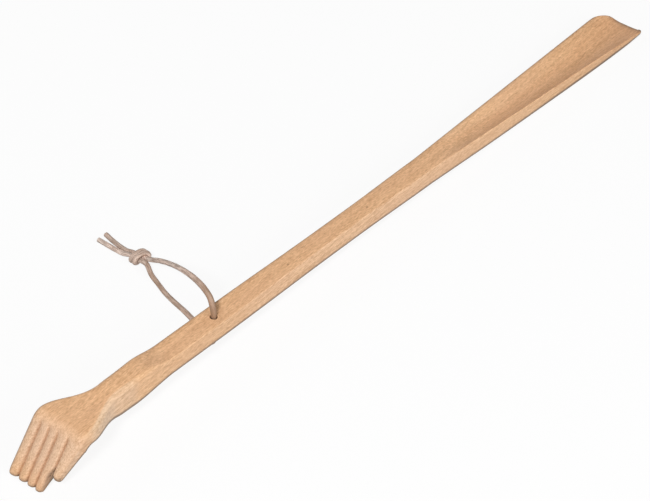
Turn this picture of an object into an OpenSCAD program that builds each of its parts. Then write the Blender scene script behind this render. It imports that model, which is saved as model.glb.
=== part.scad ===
// Back scratcher cut from one piece of beech: a hand at one end, a shoehorn at the other,
// and a knotted cord loop through a hole near the hand, for hanging it up.
// Millimetres. X runs from the hand to the shoehorn, Y to the side where the cord lies, Z up.
// The stick lies as on a table, on its fingertips and on the back of the shoehorn.

/* [Shaft] */
// length from the knuckles to the end of the shoehorn
body_len = 502; // [430:1:560]
// thickness of the shaft
shaft_t = 11; // [10:0.1:14]
// width of the shaft beside the cord hole
shaft_w = 14.5; // [12:0.1:18]
// width of the shaft at its slimmest
slim_w = 12.9; // [11:0.1:16]
// radius along the edges of the shaft
shaft_edge = 0.7; // [0.6:0.1:3]

/* [Shoehorn] */
// length of the flared blade
blade_len = 202; // [150:1:260]
// width of the blade at its end
blade_w = 30.5; // [24:0.1:38]
// thickness of the blade at its end
blade_tip_t = 5; // [3.5:0.1:6]
// how much the blade thins evenly along its length
blade_taper = 2.3; // [0:0.1:4]
// length over which the back of the blade thins further towards its end
thinning_len = 82; // [60:1:150]
// depth of the trough in the blade
trough_depth = 5; // [2:0.1:6]
// depth of the trough at the end of the blade
trough_end_depth = 2.8; // [1:0.1:3.5]
// end corner of the blade on the cord's side
far_corner = 10.5; // [3:0.5:12]
// end corner of the blade on the thumb's side
near_corner = 3; // [2:0.5:12]
// how far the end of the blade runs out of square
end_skew = 1.3; // [0:0.1:3]
// how far the face drops at the end corner on the thumb's side
corner_fall = 2.2; // [0:0.1:3]

/* [Hand] */
// width of the thumb at the knuckles
thumb_w = 9; // [7:0.1:12]
// width of the index finger
index_w = 7.1; // [5:0.1:9]
// width of the middle finger
middle_w = 5.9; // [5:0.1:9]
// width of the ring finger
ring_w = 6.2; // [5:0.1:9]
// width of the little finger
little_w = 6.5; // [5:0.1:9]
// length of the four fingers from the knuckles
finger_len = 37; // [28:0.5:48]
// length of the thumb from the knuckles
thumb_len = 26.5; // [18:0.5:34]
// how far the thumb's outer edge draws in towards its tip
thumb_draw = 4.4; // [0:0.1:5]
// how far the index finger draws in past the thumb
index_draw = 2; // [0:0.1:2.5]
// how far the little finger spreads outwards at its tip
little_spread = 0.3; // [0:0.1:3]
// how far the hand sits over to the little finger's side
hand_shift = 1; // [-2:0.1:2]
// angle at which the fingers bend down
finger_bend = 53; // [30:1:70]
// thickness of the hand at the knuckles
hand_t = 9; // [6:0.1:12]
// thickness of the fingertips
tip_t = 4; // [3:0.1:7]
// radius of the bend over the knuckles
knuckle_r = 8; // [4:0.5:14]
// depth of the grooves between the fingers
groove_depth = 1.9; // [0.5:0.1:2.4]
// radius along the edges of the fingers
hand_edge = 2.5; // [1:0.1:3]
// radius along the edges of the wrist
wrist_edge = 3.4; // [2:0.1:6]
// length of the back of the hand at its full width
palm_len = 6; // [2:0.5:12]
// length over which the hand narrows to the wrist
narrowing_len = 29; // [20:0.5:40]
// thickness of the wrist
wrist_t = 18.6; // [14:0.1:23]
// height of the wrist above the face of the shaft
wrist_rise = 3.2; // [0:0.1:4]
// height of the knuckles above the face of the shaft
knuckle_rise = 1.4; // [0:0.1:4]

/* [Cord] */
// thickness of the cord
cord_d = 3; // [2.5:0.1:3.2]
// room round the cord in its hole
hole_gap = 0.5; // [0.3:0.1:1]
// distance of the cord hole from the knuckles
hole_x = 116.6; // [100:0.1:180]
// how far the cord hole sits off the middle, to the thumb's side
hole_off = 0.8; // [0:0.1:1.5]
// length of the knot
knot_len = 12; // [10:0.5:14]

/* [Hidden] */
$fn = 48;

beech = [0.82, 0.66, 0.48];
leather = [0.66, 0.55, 0.47];

hole_d = cord_d + 2*hole_gap;
face_z = shaft_t/2;
hand_w = thumb_w + index_w + middle_w + ring_w + little_w;
wrist_end = palm_len + narrowing_len + 22;
shaft_start = wrist_end + 22;
blade_start = body_len - blade_len;
slim_from = hole_x + 96;
slim_to = blade_start - 64;
flare_end = body_len - 15;
thin_start = body_len - thinning_len;

// Blends that the profiles are made of
function clamp(t) = min(1, max(0, t));
function smooth(t) = let (c = clamp(t)) c*c*(3 - 2*c);
function blend(a, b, t) = a + (b - a)*smooth(t);
function along(x, from, to) = (x - from)/(to - from);
function arc_drop(t) = 1 - sqrt(1 - clamp(t)*clamp(t));

// Half width of the stick, the height of its face and the depth of its back, along x
function flare(x) = x < palm_len + narrowing_len
    ? blend(hand_w, shaft_w, along(x, palm_len, palm_len + narrowing_len))
    : x < slim_to
    ? blend(shaft_w, slim_w, along(x, hole_x, slim_from))
    : blend(slim_w, shaft_w, along(x, slim_to, blade_start))
      + (blade_w - shaft_w)*clamp(along(x, blade_start, flare_end));
function face_at(x) = face_z + (x < 40
    ? blend(knuckle_rise, wrist_rise, along(x, palm_len + 14, palm_len + 34))
    : blend(wrist_rise, 0, along(x, wrist_end, shaft_start)));
function back_at(x) = let (
        palm_z = face_z + knuckle_rise - hand_t,
        wrist_z = face_z + wrist_rise - wrist_t)
    x < palm_len + narrowing_len + 5
    ? blend(palm_z, wrist_z, along(x, palm_len + 2, palm_len + narrowing_len + 5))
    : blend(wrist_z, -face_z, along(x, wrist_end - 10, shaft_start))
      + blade_taper*clamp(along(x, blade_start, body_len))
      + (shaft_t - blade_taper - blade_tip_t)*pow(clamp(along(x, thin_start, body_len)), 2);

// Trough of the shoehorn, and the rounding of its two end corners
end_depth = min(trough_end_depth, blade_tip_t - 1.5);
function trough_at(x) = trough_depth*smooth(along(x, blade_start + 2, blade_start + 72))
    - (trough_depth - end_depth)*smooth(along(x, body_len - 66, body_len));
function end_corner(x, r) = r*arc_drop(along(x, body_len - r, body_len));

// The bend over the knuckles: the face line, the palm line below it, and where the fingers leave both
finger_dir = [-cos(finger_bend), -sin(finger_bend)];
bend_dir = [sin(finger_bend/2), -cos(finger_bend/2)];
bend_run = knuckle_r*tan(finger_bend/2);
knuckle_at = [0, face_z + knuckle_rise];
through_hand = bend_dir*hand_t/cos(finger_bend/2);
bend_centre = knuckle_at + bend_dir*knuckle_r/cos(finger_bend/2);
finger_root = knuckle_at + finger_dir*bend_run;
finger_tip = knuckle_at + finger_dir*finger_len;
palm_root = finger_root + through_hand;
palm_tip = finger_tip + [sin(finger_bend), -cos(finger_bend)]*tip_t;
finger_reach = finger_len - bend_run;
thumb_reach = thumb_len - bend_run;

// Columns of the skin from the thumb's edge to the little finger's, each [digit, place across it]
digit_w = [thumb_w, index_w, middle_w, ring_w, little_w];
digit_reach = [thumb_reach, finger_reach, finger_reach, finger_reach, finger_reach];
outer_places = [0, 0.05, 0.15, 0.28, 0.5, 0.72, 0.93];
inner_places = [0, 0.1, 0.35, 0.65, 0.9];
last_places = [0, 0.09, 0.35, 0.62, 0.8, 0.93, 1];
columns = [
    for (p = outer_places) [0, p],
    for (d = [1:3], p = inner_places) [d, p],
    for (p = last_places) [4, p]];
width_before = [for (d = 0, w = 0; d < 5; w = w + digit_w[d], d = d + 1) w];
digit_start = [for (w = width_before) w - hand_w/2];
column_y = [for (c = columns) digit_start[c[0]] + c[1]*digit_w[c[0]]];
tip_round = 1.8;
notch = [0, 8.6, 2.2, 2.2, 2.2];
function over_tip(c) = 2*pow(c[1], c[0] > 0 ? 1.4 : 1) - 1;
function round_of(c) = over_tip(c) > 0 ? tip_round*[3.6, 1, 1, 1, 2.6][c[0]] : tip_round;
function tip_drop(c) = round_of(c)*(1 - sqrt(1 - pow(abs(over_tip(c)), 3)));
column_reach = [for (c = columns) c[1] == 0 && c[0] > 0
    ? min(digit_reach[c[0] - 1], digit_reach[c[0]]) - notch[c[0]]
    : digit_reach[c[0]] - tip_drop(c)];
groove_y = [for (d = [1:4]) digit_start[d]];
// each groove is steep on the little finger's side and falls gently on the thumb's side
groove_cut = min(groove_depth, 0.55*tip_t);
function groove_part(d) = groove_cut*exp(-(d > 0 ? pow(d/0.5, 1.7) : pow(-d/1.3, 1.15)));
function groove_shape(y) = max([for (g = groove_y) groove_part(y - g)]);
// share of the groove's depth, by the distance past the knuckles
function groove_share(d) = smooth(along(d, -3, 3.5));

// One ring of the skin: its face row, then its back row. tops and backs hold a line point per column.
function edge_drop(y, half, r, h) = h*arc_drop((abs(y) - half + r)/r);
function skin_point(top, back, depth, y) = let (p = top + (back - top)*depth/norm(back - top))
    [p[0], y, p[1]];
function ring(tops, backs, ys, face_depth, back_depth, close, shift = 0) = let (
        span = [for (i = [0:len(ys) - 1]) norm(backs[i] - tops[i])],
        mid = [for (i = [0:len(ys) - 1]) (face_depth[i] + span[i] - back_depth[i])/2])
    [for (i = [0:len(ys) - 1]) skin_point(tops[i], backs[i],
        face_depth[i] + (mid[i] - face_depth[i])*close, ys[i] + shift),
     for (i = [0:len(ys) - 1]) skin_point(tops[i], backs[i],
        span[i] - back_depth[i] + (mid[i] - span[i] + back_depth[i])*close, ys[i] + shift)];

count = len(columns);
edge_of_thumb = groove_y[0];
edge_of_little = groove_y[3];
function digit_y(y, u) = y < edge_of_thumb
    ? y - thumb_draw*u*(y - edge_of_thumb)/(hand_w/2 + edge_of_thumb)
    : y + little_spread*u*max(0, y - edge_of_little)/(hand_w/2 - edge_of_little);
function past_thumb(i, u, from, to) = columns[i][0] == 1 ? smooth(along(u*column_reach[i], from, to)) : 0;
function index_shift(i, u) = index_draw*(1 - columns[i][1])
    *past_thumb(i, u, thumb_reach - 6, thumb_reach + 1);
function free_side(i, u) = 1.3*arc_drop(1 - columns[i][1]*index_w/2.2)
    *past_thumb(i, u, thumb_reach - 7, thumb_reach - 2);
function finger_ring(u) = let (
        part = [for (r = column_reach) u*r/finger_reach],
        ys = [for (i = [0:count - 1]) digit_y(column_y[i], u) + index_shift(i, u)],
        half = [for (y = ys) hand_w/2 + (y < 0 ? -thumb_draw*u : little_spread*u)],
        back_edge = 0.4*tip_t + 1.5*(1 - u))
    ring([for (p = part) finger_root + (finger_tip - finger_root)*p],
        [for (p = part) palm_root + (palm_tip - palm_root)*p],
        ys,
        [for (i = [0:count - 1]) edge_drop(ys[i], half[i], hand_edge, hand_edge)
            + groove_share(u*finger_reach)*groove_shape(column_y[i]) + free_side(i, u)],
        [for (i = [0:count - 1]) edge_drop(ys[i], half[i], hand_edge + 1, min(hand_edge + 0.5, back_edge))
            + free_side(i, u)],
        0.92*arc_drop(along(u, 0.9, 1)), hand_shift);
function flat_ring(top, back, ys, half, edge, shift, groove = 0) = ring(
        [for (y = ys) top], [for (y = ys) back], ys,
        [for (i = [0:count - 1]) edge_drop(ys[i], half, edge, edge) + groove*groove_shape(column_y[i])],
        [for (y = ys) edge_drop(y, half, edge, edge)], 0, shift);
function knuckle_ring(t) = let (
        a = finger_bend*(1 - t),
        top = bend_centre + knuckle_r*[-sin(a), cos(a)])
    flat_ring(top, top + through_hand, column_y, hand_w/2, hand_edge, hand_shift,
        groove_share(-knuckle_r*finger_bend*PI/180*t));
function palm_ring(t) = let (
        end = palm_len + narrowing_len,
        from = bend_run + through_hand[0],
        top_x = bend_run + (end - bend_run)*t,
        back_x = from + (end - from)*t,
        half = flare((top_x + back_x)/2)/2)
    flat_ring([top_x, face_at(top_x)], [back_x, back_at(back_x)],
        [for (y = column_y) y*2*half/hand_w], half, blend(hand_edge, wrist_edge, 2*t),
        blend(hand_shift, 0, t));
function body_ring(x) = let (
        left = flare(x)/2 - end_corner(x, far_corner),
        right = flare(x)/2 - end_corner(x, near_corner),
        ys = [for (y = column_y) y*2/hand_w*(y < 0 ? right : left)],
        at_end = smooth(along(x, body_len - 40, body_len)),
        xs = [for (y = column_y) let (v = 2*y/hand_w) x + at_end*(1.2*(1 - v*v)*(1 + 0.9*v) - end_skew*v)],
        edge = blend(wrist_edge, shaft_edge, along(x, wrist_end - 18, shaft_start)),
        rim = blend(edge, 0.6, along(x, blade_start, blade_start + 40)),
        round_back = smooth(along(x, blade_start + 40, blade_start + 150)),
        back_w = min(edge + 2.6*round_back, 0.9*right),
        back_h = min(edge + 2.2*round_back, 0.6*(face_at(x) - back_at(x))),
        fall = min(corner_fall, blade_tip_t/2)*pow(clamp(along(x, body_len - 60, body_len)), 2))
    ring([for (v = xs) [v, face_at(x)]], [for (v = xs) [v, back_at(x)]], ys,
        [for (y = ys) let (half = y < 0 ? right : left)
            max(edge_drop(y, half, rim, rim), trough_at(x)*(1 - pow(clamp(abs(y)/(half - rim)), 2)))
                + fall*pow(clamp(-y/half), 2)],
        [for (y = ys) edge_drop(y, y < 0 ? right : left, back_w, back_h)],
        0.92*arc_drop(along(x, body_len - 1.6, body_len)));

// Stations of the rings from the fingertips to the end of the shoehorn
finger_steps = [1, 0.995, 0.98, 0.955, 0.93, 0.9, 0.75, 0.6, 0.45, 0.3, 0.15, 0.08, 0.04, 0];
knuckle_steps = [for (k = [1:4]) k/5];
palm_steps = [for (k = [0:10]) k/10];
wrist_xs = [for (k = [1:9]) palm_len + narrowing_len + (shaft_start - palm_len - narrowing_len)*k/9];
shaft_xs = [for (k = [1:10]) shaft_start + (blade_start - shaft_start)*k/10];
blade_xs = [for (k = [1:18]) blade_start + (blade_len - far_corner)*k/18];
end_xs = [for (k = [1:9]) body_len - far_corner + far_corner*sin(10*k)];
skin = [
    for (u = finger_steps) each finger_ring(u),
    for (t = knuckle_steps) each knuckle_ring(t),
    for (t = palm_steps) each palm_ring(t),
    for (x = concat(wrist_xs, shaft_xs, blade_xs, end_xs)) each body_ring(x)];
rings = len(skin)/(2*count);
hand_rings = len(finger_steps) + len(knuckle_steps);

// Triangles over the skin: the face, the back, the two edges and the two ends
function quad(a, b, c, d) = [[a, b, c], [a, c, d]];
function face_point(i, j) = i*2*count + j;
function back_point(i, j) = i*2*count + count + j;
skin_faces = [
    for (i = [0:rings - 2], j = [0:count - 2])
        each quad(face_point(i, j), face_point(i, j + 1), face_point(i + 1, j + 1), face_point(i + 1, j)),
    for (i = [0:rings - 2], j = [0:count - 2])
        each quad(back_point(i, j), back_point(i + 1, j), back_point(i + 1, j + 1), back_point(i, j + 1)),
    for (i = [0:rings - 2])
        each quad(face_point(i, 0), face_point(i + 1, 0), back_point(i + 1, 0), back_point(i, 0)),
    for (i = [0:rings - 2]) let (j = count - 1)
        each quad(face_point(i, j), back_point(i, j), back_point(i + 1, j), face_point(i + 1, j)),
    for (j = [0:count - 2])
        each quad(face_point(0, j), back_point(0, j), back_point(0, j + 1), face_point(0, j + 1)),
    for (j = [0:count - 2]) let (i = rings - 1)
        each quad(face_point(i, j), face_point(i, j + 1), back_point(i, j + 1), back_point(i, j))];

// How the stick lies: its tilt brings the fingertips and the back of the shoehorn down to z = 0
hand_skin = [for (i = [0:hand_rings*2*count - 1]) skin[i]];
blade_skin = [for (i = [(rings - len(end_xs) - 8)*2*count:len(skin) - 1]) skin[i]];
function height(p, a) = p[2]*cos(a) - p[0]*sin(a);
function lowest(points, a) = let (h = [for (p = points) height(p, a)]) points[search(min(h), h)[0]];
function tilt_from(a) = let (f = lowest(hand_skin, a), b = lowest(blade_skin, a))
    atan2(b[2] - f[2], b[0] - f[0]);
tilt = tilt_from(tilt_from(2.4));
floor_z = min([for (p = skin) height(p, tilt)]);
skin_x = [for (p = skin) p[0]*cos(tilt) + p[2]*sin(tilt)];
skin_y = [for (p = skin) p[1]];
middle_x = (min(skin_x) + max(skin_x))/2;
middle_y = (min(skin_y) + max(skin_y))/2;
function laid(p) = [p[0]*cos(tilt) + p[2]*sin(tilt) - middle_x, p[1] - middle_y, height(p, tilt) - floor_z];

// Route of the cord, each point [along, across, up] from the spot on the table below the hole,
// with up = 0 where the cord lies on the table
lie_z = cord_d/2 + 0.1;
hole_spot = [laid([hole_x, 0, 0])[0], -hole_off - middle_y, lie_z];
front_points = [
    [1.9, 3.1, 32], [3.2, 7.9, 34.5], [4.5, 13.6, 35.5], [6.4, 20.7, 34.5], [8.9, 26.8, 33], [11.4, 32.8, 30],
    [14.4, 40.3, 26.5], [16.9, 47.3, 22], [20.4, 54.8, 17], [23.4, 62.3, 12], [25.4, 67.3, 8]];
back_points = [
    [0, 1, 4], [0.8, 3.8, 1], [1.9, 7.8, 0], [4.9, 14.8, 0], [8.4, 22.8, 0], [10.4, 29.8, 0],
    [11.9, 36.8, 0], [13.4, 43.3, 0], [15.4, 50.8, 0], [18.4, 58.8, 0], [21, 66.2, 0.8]];
near_points = [[23.9, 90.8, 1], [24.1, 97.3, 0.3], [24.3, 103.8, 0], [24.4, 110.3, 0]];
far_points = [[27.2, 90.8, 0.7], [27.9, 97.3, 0.2], [29, 103.8, 0], [30.4, 110.3, 0]];

// The knot on the table: a core of the two strands and two turns round it
knot_turn = 1.2*cord_d;
knot_at = [25.9, 79.3, knot_turn + 0.1];
core_r = cord_d + 0.1;
strand_step = 0.37*cord_d;
tail_step = 0.52*cord_d;

// Cord tube: rings of eight points along a route, square to it, with given directions at both ends
cord_proud = 1.5;
bore_up = laid([0, 0, 1]) - laid([0, 0, 0]);
function unit(v) = v/norm(v);
function route_dir(r, i) = unit(unit(r[i + 1] - r[i]) + unit(r[i] - r[i - 1]));
function tube_ring(p, dir) = let (side = unit(cross(dir, [1, 0, 0])), other = cross(side, dir))
    [for (k = [0:7]) p + cord_d/2*(cos(45*k)*side + sin(45*k)*other)];
function tube_skin(r, from, to) = let (last = len(r) - 1)
    [for (i = [0:last]) each tube_ring(r[i], i == 0 ? from : i == last ? to : route_dir(r, i))];
function tube_faces(n) = [
    [for (k = [7:-1:0]) k],
    for (i = [0:n - 2], k = [0:7]) let (a = 8*i + k, b = 8*i + (k + 1)%8) each quad(a, b, b + 8, a + 8),
    [for (k = [0:7]) 8*(n - 1) + k]];
function from_hole(up) = let (mouth = laid([hole_x, -hole_off, up*(face_z + cord_proud)]))
    [mouth, mouth + up*2.5*bore_up];
function on_table(points) = [for (p = points) hole_spot + p];
function knot_end(right, ahead, up) = hole_spot + knot_at + [right, ahead*knot_len/2, up];

module cord_tube(route, from, to) {
    color(leather)
        polyhedron(tube_skin(route, from, to), tube_faces(len(route)));
}

module lay_down() {
    translate([-middle_x, -middle_y, -floor_z])
        rotate([0, tilt, 0])
            children();
}

module stick() {
    color(beech)
        lay_down()
            difference() {
                polyhedron(skin, skin_faces);
                translate([hole_x, -hole_off, -shaft_t])
                    cylinder(d = hole_d, h = 2*shaft_t);
            }
}

module cord_in_hole() {
    color(leather)
        lay_down()
            translate([hole_x, -hole_off, -face_z - cord_proud])
                cylinder(d = cord_d, h = shaft_t + 2*cord_proud);
}

module cord_front() {
    cord_tube(concat(from_hole(1), on_table(front_points), [knot_end(strand_step, -1, strand_step)]),
        bore_up, [0, 1, 0]);
}

module cord_back() {
    cord_tube(concat(from_hole(-1), on_table(back_points), [knot_end(-strand_step, -1, -strand_step)]),
        -bore_up, [0, 1, 0]);
}

module cord_knot() {
    color(leather)
        translate(hole_spot + knot_at)
            rotate([-90, 0, 0]) {
                cylinder(r = core_r, h = knot_len, center = true);
                for (side = [-1, 1])
                    rotate([0, -12, 0])
                        translate([0, 0, side*0.47*cord_d])
                            rotate_extrude()
                                translate([knot_turn, 0])
                                    circle(d = cord_d);
            }
}

module cord_tail_near() {
    cord_tube(concat([knot_end(-tail_step, 1, -0.8)], on_table(near_points)),
        [0, 1, 0], unit([0.1, 1, 0]));
}

module cord_tail_far() {
    cord_tube(concat([knot_end(tail_step, 1, -1.2)], on_table(far_points)),
        [0, 1, 0], unit([0.15, 1, 0]));
}

stick();
cord_in_hole();
cord_front();
cord_back();
cord_knot();
cord_tail_near();
cord_tail_far();
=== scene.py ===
"""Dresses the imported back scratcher: the beech stick with its hand, cord hole and shoehorn, and the knotted cord.

Lengths are worked out in millimetres, in the stick's own frame: x from the knuckles to the shoehorn's end, y to the
little finger's side, z up out of the face. lay_down() then takes them into the part's frame, in metres. The camera,
the lamps and the materials are in the part's frame from the start.
"""

import bpy
import numpy as np
from mathutils import Matrix


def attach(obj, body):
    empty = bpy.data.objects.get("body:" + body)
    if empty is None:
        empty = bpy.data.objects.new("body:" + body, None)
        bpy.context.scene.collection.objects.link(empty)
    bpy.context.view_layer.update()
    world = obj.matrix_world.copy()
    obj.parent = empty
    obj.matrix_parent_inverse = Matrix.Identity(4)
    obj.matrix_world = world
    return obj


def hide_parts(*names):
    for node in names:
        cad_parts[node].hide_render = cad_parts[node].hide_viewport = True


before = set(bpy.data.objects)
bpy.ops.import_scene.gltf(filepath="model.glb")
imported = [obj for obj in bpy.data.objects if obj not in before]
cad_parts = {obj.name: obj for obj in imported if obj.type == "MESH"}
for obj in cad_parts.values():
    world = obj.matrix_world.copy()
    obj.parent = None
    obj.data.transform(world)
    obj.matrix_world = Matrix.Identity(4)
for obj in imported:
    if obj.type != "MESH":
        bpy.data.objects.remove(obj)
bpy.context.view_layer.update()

MM = 0.001

# How the stick lies on the table: the tilt that puts the fingertips and the shoehorn's back down, and the shift
TILT = np.radians(2.55506)
MIDDLE_X, MIDDLE_Y, FLOOR_Z = 240.333, 1.15, -23.3535

# The shaft, slimmer in its middle: its length runs from the knuckles to the shoehorn's end
BODY_LEN, SHAFT_T, SHAFT_W, SLIM_W, SHAFT_EDGE = 502.0, 11.0, 14.5, 12.9, 0.7

# The shoehorn's blade: its back rises by the taper over the whole blade, and by the rest over the thinning length
BLADE_LEN, BLADE_W, BLADE_TIP_T, BLADE_TAPER, THINNING_LEN = 202.0, 30.5, 5.0, 2.3, 82.0
TROUGH_DEPTH, TROUGH_END_DEPTH = 5.0, 2.8
FAR_CORNER, NEAR_CORNER, END_SKEW, CORNER_FALL = 10.5, 3.0, 1.3, 2.2

# The hand: digits from the thumb to the little finger, how far their tips draw in or spread, bend, palm and wrist
DIGIT_W = np.array([9.0, 7.1, 5.9, 6.2, 6.5])
FINGER_LEN, THUMB_LEN = 37.0, 26.5
THUMB_DRAW, INDEX_DRAW, LITTLE_SPREAD, HAND_SHIFT = 4.4, 2.0, 0.3, 1.0
FINGER_BEND, HAND_T, TIP_T, KNUCKLE_R = np.radians(53.0), 9.0, 4.0, 8.0
GROOVE_DEPTH, HAND_EDGE, WRIST_EDGE = 1.9, 2.5, 3.4
PALM_LEN, NARROWING_LEN, WRIST_LEN, NECK_LEN = 6.0, 29.0, 22.0, 22.0
WRIST_T, WRIST_RISE, KNUCKLE_RISE = 18.6, 3.2, 1.4

# The cord and its hole, which lies a little off the middle, on the thumb's side
CORD_D, HOLE_D, HOLE_X, HOLE_OFF = 3.0, 4.0, 116.6, 0.8

# Heights, widths and places along the stick that follow from them
FACE_Z = SHAFT_T / 2
HAND_W = DIGIT_W.sum()
PALM_END = PALM_LEN + NARROWING_LEN
WRIST_END = PALM_END + WRIST_LEN
SHAFT_START = WRIST_END + NECK_LEN
BLADE_START = BODY_LEN - BLADE_LEN
SLIM_FROM, SLIM_TO = HOLE_X + 96, BLADE_START - 64
FLARE_END, THIN_START = BODY_LEN - 15, BODY_LEN - THINNING_LEN
RISE_FROM, RISE_TO = PALM_LEN + 14, PALM_LEN + 34
THICKEN_FROM, THICKEN_TO = PALM_LEN + 2, PALM_END + 5
SHARPEN_FROM, SETTLE_FROM = WRIST_END - 18, WRIST_END - 10
TROUGH_START, TROUGH_FULL, TROUGH_FADE = BLADE_START + 2, BLADE_START + 72, BODY_LEN - 66


def clamp(t):
    return np.clip(t, 0.0, 1.0)


def smooth(t):
    """Three t squared less two t cubed, level at both ends."""
    c = clamp(t)
    return c * c * (3 - 2 * c)


def mix(a, b, t):
    return a + (b - a) * smooth(t)


def along(x, start, end):
    return (x - start) / (end - start)


def arc_drop(t):
    """Fall of a unit circle's rim below its top, at t of its radius out."""
    return 1 - np.sqrt(1 - clamp(t) ** 2)


def lay_down(p):
    """Stick's frame in millimetres to the part's frame in metres: a turn by the tilt about y, then a shift."""
    x, y, z = p[..., 0], p[..., 1], p[..., 2]
    c, s = np.cos(TILT), np.sin(TILT)
    return np.stack([x * c + z * s - MIDDLE_X, y - MIDDLE_Y, z * c - x * s - FLOOR_Z], -1) * MM


def make_piece(name, points, quads, material, body, marks, uv=None):
    """A smooth-shaded mesh at the origin that rides on a body. marks holds three shares for each point, that its
    material reads, and uv a pair for each corner of each quad."""
    mesh = bpy.data.meshes.new(name)
    mesh.from_pydata(points.tolist(), [], quads.tolist())
    mesh.polygons.foreach_set("use_smooth", np.ones(len(mesh.polygons), bool))
    if uv is not None:
        layer = mesh.uv_layers.new(name="run")
        layer.data.foreach_set("uv", uv.astype(np.float32).ravel())
    layer = mesh.attributes.new("marks", "FLOAT_VECTOR", "POINT")
    layer.data.foreach_set("vector", marks.astype(np.float32).ravel())
    mesh.materials.append(material)
    mesh.validate()
    mesh.update()
    piece = bpy.data.objects.new(name, mesh)
    bpy.context.scene.collection.objects.link(piece)
    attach(piece, body)
    return piece


def aim(holder, place, target):
    """Stands a camera or lamp at a place, upright, with its back axis on the line from the target."""
    back = np.subtract(place, target)
    back /= np.linalg.norm(back)
    side = np.cross([0, 0, 1], back)
    side /= np.linalg.norm(side)
    holder.matrix_world = Matrix([*zip(side, np.cross(back, side), back, place), (0, 0, 0, 1)])


CAMERA_PLACE, CAMERA_TARGET = (-0.8775, -0.7113, 0.9671), (-0.0379, -0.0083, 0.0175)
SENSOR_W, FOCAL_LEN = 36.0, 144.0


def make_camera():
    """The photograph's view: from the hand's end and the thumb's side, 41 degrees up, with a long lens."""
    lens = bpy.data.cameras.new("camera")
    lens.sensor_width, lens.lens = SENSOR_W, FOCAL_LEN
    lens.clip_start, lens.clip_end = 0.05, 50.0
    eye = bpy.data.objects.new("camera", lens)
    bpy.context.scene.collection.objects.link(eye)
    aim(eye, CAMERA_PLACE, CAMERA_TARGET)
    bpy.context.scene.camera = eye


# Node helpers


def feed(tree, socket, value):
    """Links a socket to another one, or sets it to a constant."""
    if isinstance(value, bpy.types.NodeSocket):
        tree.links.new(value, socket)
    else:
        socket.default_value = value


def add(tree, kind, settings=(), **inputs):
    """A node with its settings made and its inputs fed, by number (i0) or by socket name (underscores for spaces)."""
    node = tree.nodes.new(kind)
    for key, value in dict(settings).items():
        setattr(node, key, value)
    for key, value in inputs.items():
        numbered = key[0] == "i" and key[1:].isdigit()
        feed(tree, node.inputs[int(key[1:]) if numbered else key.replace("_", " ")], value)
    return node


def maths(tree, operation, a, b=0.0):
    return add(tree, "ShaderNodeMath", {"operation": operation}, i0=a, i1=b).outputs[0]


def vector_maths(tree, operation, a, b=(0.0, 0.0, 0.0)):
    return add(tree, "ShaderNodeVectorMath", {"operation": operation}, i0=a, i1=b).outputs


def blend_colours(tree, share, a, b, way="MIX"):
    settings = {"data_type": "RGBA", "blend_type": way}
    return add(tree, "ShaderNodeMix", settings, i0=share, i6=a, i7=b).outputs[2]


def spread(tree, value, low, high, to_low=0.0, to_high=1.0):
    """Maps low..high of a value to to_low..to_high, clamped."""
    return add(tree, "ShaderNodeMapRange", Value=value, From_Min=low, From_Max=high,
               To_Min=to_low, To_Max=to_high).outputs[0]


def ramp(tree, value, stops):
    """Colour by a value: straight runs between the stops, each a place from 0 to 1 and its colour."""
    node = add(tree, "ShaderNodeValToRGB", Fac=value)
    elements = node.color_ramp.elements
    while len(elements) < len(stops):
        elements.new(1.0)
    for element, (place, colour) in zip(elements, stops):
        element.position, element.color = place, colour
    return node.outputs[0]


def grain_group():
    """Shared fine surface grain: noise drawn out by the three scales given, as a value about 0.5 and as its peaks."""
    tree = bpy.data.node_groups.new("drawn_grain", "ShaderNodeTree")
    for name, kind in (("Vector", "NodeSocketVector"), ("Scale", "NodeSocketVector"), ("Detail", "NodeSocketFloat")):
        tree.interface.new_socket(name, in_out="INPUT", socket_type=kind)
    for name in ("Value", "Peaks"):
        tree.interface.new_socket(name, in_out="OUTPUT", socket_type="NodeSocketFloat")
    taken, given = tree.nodes.new("NodeGroupInput"), tree.nodes.new("NodeGroupOutput")
    drawn = vector_maths(tree, "MULTIPLY", taken.outputs["Vector"], taken.outputs["Scale"])["Vector"]
    noise = add(tree, "ShaderNodeTexNoise", Vector=drawn, Scale=1.0, Detail=taken.outputs["Detail"], Roughness=0.55)
    tree.links.new(noise.outputs[0], given.inputs["Value"])
    tree.links.new(spread(tree, noise.outputs[0], 0.6, 0.72), given.inputs["Peaks"])
    return tree


def grain(tree, group, vector, scale, detail):
    return add(tree, "ShaderNodeGroup", {"node_tree": group}, Vector=vector, Scale=scale, Detail=detail).outputs


def marks_of(tree):
    """The three shares a piece gives for its points."""
    read = add(tree, "ShaderNodeAttribute", {"attribute_name": "marks"})
    return add(tree, "ShaderNodeSeparateXYZ", Vector=read.outputs["Vector"]).outputs


def new_material(name):
    material = bpy.data.materials.new(name)
    material.use_nodes = True
    return material, material.node_tree, material.node_tree.nodes["Principled BSDF"]


def finish_surface(tree, shader, colour, roughness, height, strength, depth, gloss):
    """Gives a shader its colour, roughness and gloss, and a bump of the given strength and depth in metres."""
    bump = add(tree, "ShaderNodeBump", Height=height, Strength=strength, Distance=depth)
    for name, value in (("Base Color", colour), ("Roughness", roughness), ("Normal", bump.outputs[0]),
                        ("Specular IOR Level", gloss)):
        feed(tree, shader.inputs[name], value)


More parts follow.
